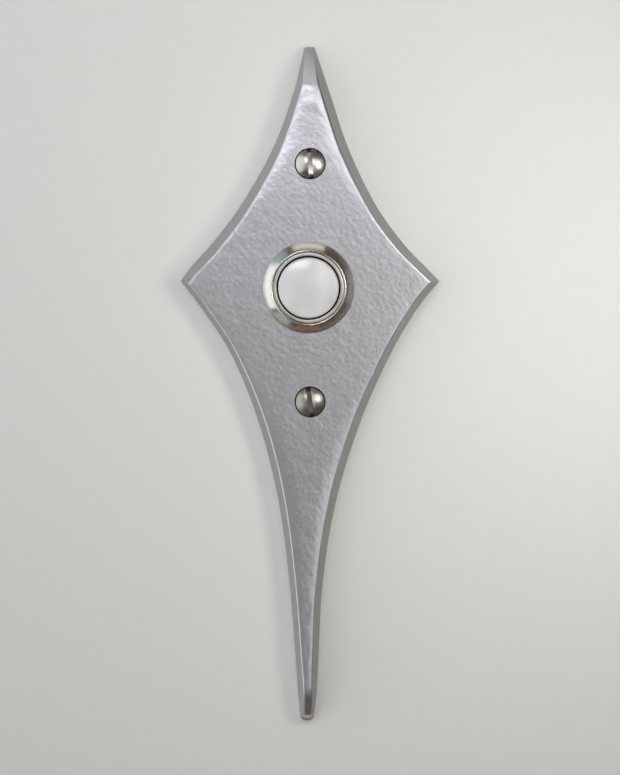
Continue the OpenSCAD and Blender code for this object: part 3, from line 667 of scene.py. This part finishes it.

# %% [markdown]
# ### Marks for the finish
#
# The walls keep the mould's dull skin, so the "tumbled" mark is read from how squarely a face looks
# forward. The "matt" mark covers the bent top from a wavy border on. A third mark gives painted
# shade: in the gaps round the screw heads, along the brink of the upper walls, more so at the
# right, on the foot of the tail and at the very top.

# %% Mark the tumbled and matt places and the painted shade
facing = np.array([tuple(v.vector) for v in plate_mesh.vertex_normals])[:, 1]
tumbled = rising(-facing, 0.3, 0.3)
tumbled = tumbled * tumbled * (3 - 2 * tumbled)


def matt_top(x, y, z):
    """The border of the matt skin falls to the right as a parabola with small waves on it. At the
    left a half matt patch begins lower down."""
    fall = 0.2 * np.maximum(x + 1.3, 0) ** 2
    border = np.maximum(44.9 - fall, 42.6) + 0.25 * np.sin(x * 4.3)
    half = 0.4 * rising(-x, -0.6, 1.2) * rising(z, 39.5, 2)
    return np.maximum(rising(z, border, 1.6), half)


def plate_grime(x, y, z):
    """Painted shade, the largest of four: full in the gaps within half a millimetre of a screw
    head, then the brink of the walls, where faces lean between two limits, then the foot and then
    the top."""
    from_screw = np.minimum(*(np.hypot(x - SCREW_X, z - at) for at in (UPPER_Z, LOWER_Z)))
    gaps = (from_screw < HEAD_R + 0.5) & (y > FACE + 0.05) & (y < -0.5)
    leaning = rising(-facing, 0.37, 0.08) * rising(facing, -np.where(x > 0, 0.86, 0.7), 0.1)
    heights = rising(-z, 2.2 - Z_TOP, 5) * rising(z, 18, 20)
    brink = leaning * heights * np.where(x > 0, 0.85, 0.4)
    foot = 0.2 * (1 - tumbled) * rising(-z, 97.6, 0.5)
    tip = 0.34 * tumbled * rising(z, 46.8, 5)
    return np.where(gaps, 1.0, np.maximum(np.maximum(brink, foot), tip))


mark(plate_mesh, "tumbled", lambda x, y, z: tumbled)
mark(plate_mesh, "matt", matt_top)
mark(plate_mesh, "grime", plate_grime)
settle(plate_mesh, "star_plate", "unit", cast_aluminium, ["face_plate"], 42)

# %% [markdown]
# ## The ring round the button
#
# A plated ring stands 2 mm off the face: a sloping cone outside, a rounded crest, and a ledge
# inside on which the barrel's lip bears. The cone of the real ring is very slightly bellied, which
# spreads its reflections, so its straight line is bent out by a few hundredths of a millimetre.

# %% Bezel ring
CREST, LEDGE = -8.0, -6.5
BARREL_R, BEZEL_R, SEAT_R, CREST_R = 7.6, 10.22, 8.05, 0.22
top_of_cone = np.array([SEAT_R + CREST_R + 0.165, CREST + CREST_R - 0.145])
foot_of_cone = np.array([BEZEL_R, FACE - 0.3])
s = np.linspace(0, 1, 16)[:, None]
bulge = np.array([0.65, -0.76]) * 0.22 * s * (1 - s)
belly = foot_of_cone + (top_of_cone - foot_of_cone) * s + bulge
round_angle = np.radians(np.linspace(41, 180, 14))
crest = np.stack([
    SEAT_R + CREST_R + CREST_R * np.cos(round_angle),
    CREST + CREST_R - CREST_R * np.sin(round_angle),
], 1)
ring_profile = np.vstack([
    [[BARREL_R + 0.05, FACE], [BEZEL_R - 0.08, FACE], [BEZEL_R, FACE - 0.08]],
    belly, crest, [[SEAT_R, LEDGE], [BARREL_R + 0.05, LEDGE]],
])
settle(
    skin("bezel", turned(ring_profile, steps=256), round_rows=True),
    "bezel", "unit", nickel, ["bezel_ring"],
)

# %% [markdown]
# ## The threaded barrel
#
# The barrel is the body of the switch. Its lip shows in front as the bright inner ring, and behind
# the plate it carries a fine thread for the lock nut. A thread on a lathe is a groove whose depth
# depends on how far round and how far along it is, so it is made as a change of the radius.

# %% Barrel with its lip and thread
def thread(pitch, depth, start, end, core):
    """A thread as a change of radius. The ridge stands where y / pitch less the turn is a whole
    number and its root is half a turn away. It fades over one pitch at each end, and holds only
    outside the radius `core`."""
    def change(radius, y, turn):
        ridge = np.abs(np.mod(y / pitch - turn, 1) * 2 - 1)
        fade = rising(y, start, pitch) * rising(-y, -end, pitch)
        return np.where(radius > core, radius - depth * (1 - ridge) * fade, radius)
    return change


LIP, BORE_R, LIP_R, TAIL_R, BARREL_END = -7.65, 7.15, 7.9, 7.42, 13.441
outside = dense(np.array([
    [BARREL_R, LEDGE + 0.02], [BARREL_R, 0.0], [TAIL_R, 0.3], [TAIL_R, BARREL_END - 0.25],
]), 0.07)
barrel_profile = np.vstack([
    softened([[BORE_R, LIP + 0.6], [BORE_R, LIP], [LIP_R, LIP], [LIP_R, LEDGE], [BARREL_R, LEDGE]],
             np.array([0, 0.2, 0.2, 0.05, 0]), 8),
    outside,
    [[7.2, BARREL_END], [6.85, BARREL_END], [6.8, 12.85], [7.1, 12.8], [7.1, 11.94], [6.8, 11.94],
     [6.8, 7.541], [6.5, 7.541], [6.5, -1.609], [5.05, -1.609], [5.05, -4.009], [BORE_R, -4.009]],
])
barrel_mesh = skin(
    "barrel", turned(barrel_profile, steps=144, change=thread(0.9, 0.3, -2.3, 12.9, 7.3)),
    round_rows=True,
)
# Painted shade: the bore wall turns dark from just behind the lip, in the gap round the button.
mark(barrel_mesh, "grime", lambda x, y, z: np.where(
    (np.hypot(x, z) < BORE_R + 0.01) & (y < 1), rising(y, LIP + 0.15, 0.3), 0.0
))
settle(barrel_mesh, "switch_barrel", "unit", satin_nickel, ["barrel"])

# %% [markdown]
# ## The white button
#
# The button is one moulding: a low dome with a rounded shoulder in front, then a hollow shank that
# slides in the barrel, and inside it a stem that carries the contact disc. The dome is part of a
# large sphere, which is why it shows one broad, quiet highlight.

# %% Push button
DOME, DOME_SPHERE, CAP_R, CAP_ROUND = -9.25, 26.0, 6.78, 0.7
dome_reach = math.asin((CAP_R - CAP_ROUND) / (DOME_SPHERE - CAP_ROUND))
dome_angle = np.linspace(0, dome_reach, 30)
dome = np.stack([
    DOME_SPHERE * np.sin(dome_angle), DOME + DOME_SPHERE * (1 - np.cos(dome_angle)),
], 1)
shoulder_y = DOME + DOME_SPHERE - (DOME_SPHERE - CAP_ROUND) * math.cos(dome_reach)
round_angle = np.linspace(dome_reach, np.pi / 2, 16)[1:]
shoulder = np.stack([
    CAP_R - CAP_ROUND + CAP_ROUND * np.sin(round_angle),
    shoulder_y - CAP_ROUND * np.cos(round_angle),
], 1)
behind = softened([
    [CAP_R, -5.609], [5.0, -5.609], [5.0, -1.609], [4.5, -1.609], [4.5, -0.759], [5.0, -0.759],
    [5.0, 0.391], [3.4, 0.391], [3.4, -6.85], [2.0, -6.85], [2.0, 4.891], [0.9, 4.891],
    [0.9, 6.591], [0.0, 6.591],
], np.array([0.1] * 13 + [0]), 4)
settle(
    skin("button", turned(np.vstack([dome, shoulder, behind]), steps=192)),
    "white_button", "button", white_urea, ["push_button"],
)

# %% [markdown]
# ## The fixing screws
#
# Two oval-head wood screws hold the plate. A turned profile gives the domed head, the countersunk
# cone, the plain shank and the pointed, threaded end. The slot is the cut of a round saw, so its
# floor is a shallow arc that catches the light. Each slot has its own lean, because nobody lines
# them up, and shade is painted into its ends and below the head's rim.

# %% Slotted screws
DOME_H, SLOT_HALF, SLOT_FLOOR, SAW_R = 1.1, 0.55, RIM + 0.1, 14.0


def slotted_screw(name, node, z, lean, floor_shade, finish):
    """Oval-head screw: the dome is an arc through the rim and the crown, the thread fades in behind
    the shank, and the slot is turned by `lean` degrees about the screw's axis. The slot's floor
    rises by the square of the distance along it over twice the saw's radius. `floor_shade` is the
    share of painted shade on the floor between its ends."""
    sphere = (HEAD_R ** 2 + DOME_H ** 2) / (2 * DOME_H)
    angle = np.linspace(0, math.asin(HEAD_R / sphere), 26)
    head = np.stack([sphere * np.sin(angle), RIM - DOME_H + sphere * (1 - np.cos(angle))], 1)
    head[-1] = [HEAD_R - 0.03, head[-2, 1] + 0.6 * (head[-1, 1] - head[-2, 1])]
    rim = [[HEAD_R, RIM + 0.02]]
    neck = RIM + (HEAD_R - SHANK_R) / SLOPE
    body = dense(np.array([
        [SHANK_R, neck], [SHANK_R, 0.6], [SHANK_R, 15.0], [1.1, 17.4], [0.12, 19.45], [0.0, 19.5],
    ]), 0.12)
    profile = np.vstack([head, rim, body])
    screw = skin(name, turned(profile, (SCREW_X, z), 112, thread(1.8, 0.55, 0.6, 19.0, 0.6)))
    u = np.array([math.cos(math.radians(lean)), math.sin(math.radians(lean))])
    v = np.array([-u[1], u[0]])
    saw = dense(np.array([
        [-SLOT_HALF, RIM - 3], [-SLOT_HALF, SLOT_FLOOR], [SLOT_HALF, SLOT_FLOOR],
        [SLOT_HALF, RIM - 3],
    ]), 0.28)
    along = np.linspace(-4.2, 4.2, 31)[:, None]
    grid = np.stack([
        SCREW_X + saw[:, 0] * u[0] + along * v[0], saw[:, 1] - along ** 2 / (2 * SAW_R),
        z + saw[:, 0] * u[1] + along * v[1],
    ], -1)
    screw = cut(screw, [skin("slot", grid)])

    def slot_ends(px, py, pz):
        """Painted shade on the slot's floor, thick from 2.1 mm off the middle on, and full below
        the rim.
        """
        off_x, off_z = px - SCREW_X, pz - z
        side, far = off_x * u[0] + off_z * u[1], off_x * v[0] + off_z * v[1]
        low = (py < SLOT_FLOOR + 0.01) & (py > SLOT_FLOOR - 0.4)
        ends = floor_shade + (1 - floor_shade) * rising(np.abs(far), 2.1, 0.5)
        below_rim = ((np.hypot(off_x, off_z) > HEAD_R - 0.04) | (py > RIM - 0.005)) & (py < 0)
        return np.where(low & (np.abs(side) < SLOT_HALF + 0.01), ends, below_rim * 1.0)

    # The mark paints shade into the slot's ends, on its floor and below the head's rim.
    mark(screw, "grime", slot_ends)
    return settle(screw, name, "unit", finish, [node], 30)


slotted_screw("upper_screw", "screw_upper", UPPER_Z, 5.4, 0.0, worn_nickel)
slotted_screw("lower_screw", "screw_lower", LOWER_Z, 8.3, 0.5, dull_shaded_nickel)

# %% [markdown]
# ## The nut and washers behind the plate
#
# A thin hexagon nut and a flat washer clamp the barrel in the plate's pocket. On a lathe a hexagon
# is a radius that changes six times a turn: the flat's distance divided by the cosine of the angle
# from the middle of the flat. The smaller of that and the chamfer's cone is the real surface.

# %% Lock nut and lock washer
def hexagon(width, core):
    """Radius of a hexagon with corners at whole sixths of a turn, or the profile's own radius where
    that is smaller. Points inside the radius `core` stay round."""
    def change(radius, y, turn):
        flat = width / 2 / np.cos(np.mod(turn * 2 * np.pi, np.pi / 3) - np.pi / 6)
        return np.where(radius > core, np.minimum(radius, flat), radius)
    return change


nut_r, nut_front, nut_back = 19 / math.sqrt(3), -2.2, -0.2
nut_profile = dense(np.array([
    [8.0, nut_front], [9.3, nut_front], [nut_r, nut_front + 0.02], [nut_r, nut_back - 0.4],
    [nut_r - 0.69, nut_back], [9.3, nut_back], [8.0, nut_back], [7.65, nut_back - 0.35],
    [7.65, nut_front + 0.35],
]), 0.3)
settle(
    skin("nut", turned(nut_profile, steps=180, change=hexagon(19, 9.0)), round_rows=True),
    "clamping_nut", "unit", nickel, ["lock_nut"], 30,
)


def flat_ring(inner, outer, front, back, soft):
    """Profile of a flat ring whose four edges are softened."""
    return softened([[inner, front], [outer, front], [outer, back], [inner, back]], soft, 4)


settle(
    skin("washer", turned(flat_ring(7.9, 10, -3, nut_front, 0.1), steps=180), round_rows=True),
    "clamping_washer", "unit", zinc, ["lock_washer"],
)

# %% [markdown]
# ## The terminals
#
# Each wire would be clamped under a small cheese-head screw with a washer. They sit behind the
# black base, one each side of its rib.

# %% Terminal screws and their washers
WASHER_Y, HEAD_Y, HEAD_END = 14.541, 14.941, 16.241
POINT_Y = HEAD_Y - 4.2
for side, x in (("left", -4.2), ("right", 4.2)):
    ring = turned(flat_ring(1.3, 1.95, WASHER_Y, HEAD_Y, 0.06), (x, 0), 72)
    settle(
        skin("ring", ring, round_rows=True),
        f"wire_washer_{side}", "unit", zinc, [f"clamp_washer_{side}"],
    )
    profile = np.vstack([
        dense(np.array([[0, POINT_Y], [0.7, POINT_Y], [1.0, POINT_Y + 0.3], [1.0, HEAD_Y]]), 0.06),
        softened([[1.3, HEAD_Y], [1.9, HEAD_Y], [1.9, HEAD_END], [0, HEAD_END]],
                 np.array([0, 0.08, 0.4, 0]), 6),
    ])
    screw = skin("screw", turned(
        profile, (x, 0), 72, thread(0.5, 0.16, POINT_Y, HEAD_Y - 0.2, 0.8),
    ))
    slot = np.array([
        [[x + a * 0.25, y, b * 2.5] for a, b in ((-1, -1), (1, -1), (1, 1), (-1, 1))]
        for y in (HEAD_END - 0.6, HEAD_END + 1)
    ])
    settle(
        cut(screw, [skin("slot", slot)]), f"wire_screw_{side}", "unit", zinc,
        [f"terminal_screw_{side}"], 30,
    )

# %% [markdown]
# ## The return spring
#
# A coil of thin music wire stands between the clip on the stem and the well in the base. It is a
# tube swept along a helix, with its first and last turns lying flat, as on any compression spring.
# When the button goes in the real coil closes by the 1.5 mm of travel, but the piece keeps one
# length.

# %% Return spring
COIL_R, WIRE_R, TURNS, COIL_FRONT, COIL_BACK, TRAVEL = 1.6, 0.2, 5, 5.791, 10.541, 1.5
turn = np.linspace(0, TURNS, TURNS * 48 + 1)[:, None]
open_turns = rising(turn, 1, TURNS - 2)
closed_turns = rising(turn, 0, 1) + rising(turn, TURNS - 1, 1)
rise = COIL_BACK - COIL_FRONT - 4 * WIRE_R
middle_y = COIL_FRONT + WIRE_R + WIRE_R * closed_turns + rise * open_turns
around = np.linspace(0, 2 * np.pi, 13)[None, :-1]
out = COIL_R + WIRE_R * np.cos(around)
coil_grid = np.stack([
    out * np.cos(2 * np.pi * turn), middle_y + WIRE_R * np.sin(around),
    out * np.sin(2 * np.pi * turn),
], -1)
coil = settle(
    skin("coil", coil_grid), "coil_spring", "unit", spring_steel, ["return_spring"]
)
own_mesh(coil)

# %% [markdown]
# ## The solids that stay
#
# The small pieces inside the barrel have their right shape already, so they keep their CAD meshes
# and only get their finishes.

# %% Finishes of the kept solids
kept = {
    "snap_ring": spring_steel, "bridge_disc": brass, "stem_clip": spring_steel,
    "contact_base": phenolic, "base_ring": spring_steel,
    "contact_left": brass, "contact_right": brass,
}
for name, finish in kept.items():
    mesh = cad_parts[name].data
    mesh.materials.clear()
    mesh.materials.append(finish)
print("Kept solids:", sorted(kept))

# %% [markdown]
# ## The studio
#
# The plate hangs on a plain pale wall, a hair behind its back, which takes its soft shadow. Seen
# from behind, the wall lets everything through, so the back of the object can be looked at too: its
# material is clear on its back side, and it has a hole a little smaller than the plate, through
# which the lamps behind it light the plate's back. A metal face shows what stands in front of it,
# so the lamps are set one by one. A small one close above the top draws the bright-to-dark run down
# the face. The front lamp and the tall strips give the face its even shine, and the two close lamps
# at the right brighten it towards the right-hand point. The broad left lamp lights the side walls,
# the ring's left half and the white button, and sends the shadow to the right. The corner lamps
# and the lamps beside the wall, almost in its plane, show on the sloping ring and the rolled ends.

# %% Wall and world
pale_wall = new_finish("pale wall paint")
place = add(pale_wall, "TexCoord").outputs["Object"]
roller = add(pale_wall, "TexNoise", {"Vector": place, "Scale": per_mm(3), "Detail": 3.0})
coat = add(pale_wall, "ValToRGB", {"Fac": roller.outputs["Fac"]})
coat.color_ramp.elements[0].color = paint("#E9E8E5")
coat.color_ramp.elements[1].color = paint("#ECEBE8")
front_side = add(pale_wall, "BsdfPrincipled", {
    "Base Color": coat.outputs["Color"], "Roughness": 0.9,
})
behind_it = add(pale_wall, "NewGeometry").outputs["Backfacing"]
add(pale_wall, "OutputMaterial", {"Surface": add(pale_wall, "MixShader", {
    0: behind_it, 1: front_side.outputs[0], 2: add(pale_wall, "BsdfTransparent").outputs[0],
}).outputs[0]})
BEHIND, OVERLAP, WALL_REACH = 0.1, 0.25, 2000
heights = np.linspace(Z_BOTTOM + 2 * OVERLAP, Z_TOP - 2 * OVERLAP, 120)
hole_x = np.concatenate([inside(2, heights, 0, OVERLAP), -inside(1, heights, 0, OVERLAP)[::-1]])
hole_z = np.concatenate([heights, heights[::-1]])
bearing = np.arctan2(hole_z - SIDE_Z, hole_x)
level = np.full_like(hole_x, BEHIND)
hole_rim = np.stack([hole_x, level, hole_z], -1)
far_rim = np.stack([WALL_REACH * np.cos(bearing), level, WALL_REACH * np.sin(bearing)], -1)
count = len(hole_x)
spot, after = np.arange(count), np.roll(np.arange(count), -1)
wall_mesh = bpy.data.meshes.new("wall")
wall_mesh.from_pydata(
    (np.concatenate([hole_rim, far_rim]) * MM).tolist(), [],
    np.stack([spot + count, after + count, after, spot], 1).tolist(),
)
wall_mesh.materials.append(pale_wall)
wall = bpy.data.objects.new("wall", wall_mesh)
bpy.context.scene.collection.objects.link(wall)

world = bpy.data.worlds.new("studio")
bpy.context.scene.world = world
world.use_nodes = True
world.node_tree.nodes["Background"].inputs["Color"].default_value = paint("#FFEADF")
world.node_tree.nodes["Background"].inputs["Strength"].default_value = 0.11
print("Wall", BEHIND, "mm behind the plate, hole rim of", count, "points")

# %% Lamps
# name, azimuth to the right, rise, distance in metres, width and height, watts, colour
lamps = [
    ("small lamp close above the top", -12, 27, 0.281, (0.1, 0.06), 0.17, "#F8F9FF"),
    ("front lamp", 18, 10, 1.2, (0.4, 0.4), 0.7, "#F5FCFF"),
    ("tall strip in front, right", 15, 0, 1.2, (0.16, 1.0), 1.13, "#FFFCFC"),
    ("tall strip in front, left", -20, 0, 1.2, (0.16, 1.0), 0.4, "#F2FBFF"),
    ("small lamp close at the right", 36, 15, 0.193, (0.05, 0.08), 0.046, "#F8FFFC"),
    ("smaller lamp close at the right", 42, 8, 0.146, (0.04, 0.05), 0.042, "#FFFDF6"),
    ("broad left lamp", -62, 0, 1.2, (1.3, 1.6), 7.6, "#F6FDFF"),
    ("tall lamp beside the wall, left", -84, -4, 1.2, (0.3, 1.4), 0.35, "#F4FAFF"),
    ("low front lamp", 12, -28, 1.2, (0.4, 0.3), 0.2, "#FFFCFF"),
    ("corner lamp, high left", -79, 44, 1.2, (0.5, 0.5), 0.36, "#BDF4F6"),
    ("corner lamp, low left", -76, -50, 1.2, (0.5, 0.5), 0.34, "#F4FFF6"),
    ("warm lamp beside the wall, below", 6, -86, 1.2, (0.7, 0.3), 0.12, "#FF9458"),
    ("wide lamp beside the wall, top", 0, 82, 1.2, (1.0, 0.3), 0.8, "#FFFFF8"),
    ("tall lamp beside the wall, right", 86, 0, 1.2, (0.3, 1.0), 0.2, "#FFFFFF"),
    ("back lamp, left", 215, 30, 1.2, (0.8, 0.8), 8, "#FFFFFF"),
    ("back lamp, right", 140, 10, 1.2, (0.8, 0.8), 6, "#FFFFFF"),
]
target = Vector((0, 0, -0.02))
for name, azimuth, rise, distance, size, watts, colour in lamps:
    data = bpy.data.lights.new(name, "AREA")
    data.shape, data.size, data.size_y, data.energy = "RECTANGLE", *size, watts
    data.color = paint(colour)[:3]
    lamp = bpy.data.objects.new(name, data)
    bpy.context.scene.collection.objects.link(lamp)
    a, e = math.radians(azimuth), math.radians(rise)
    way = Vector((math.sin(a) * math.cos(e), -math.cos(a) * math.cos(e), math.sin(e)))
    lamp.location = target + way * distance
    lamp.rotation_euler = (-way).to_track_quat("-Z", "Y").to_euler()
    lamp.visible_camera = False
bpy.context.scene.view_settings.view_transform = "Standard"
print("Lamps:", len(lamps))
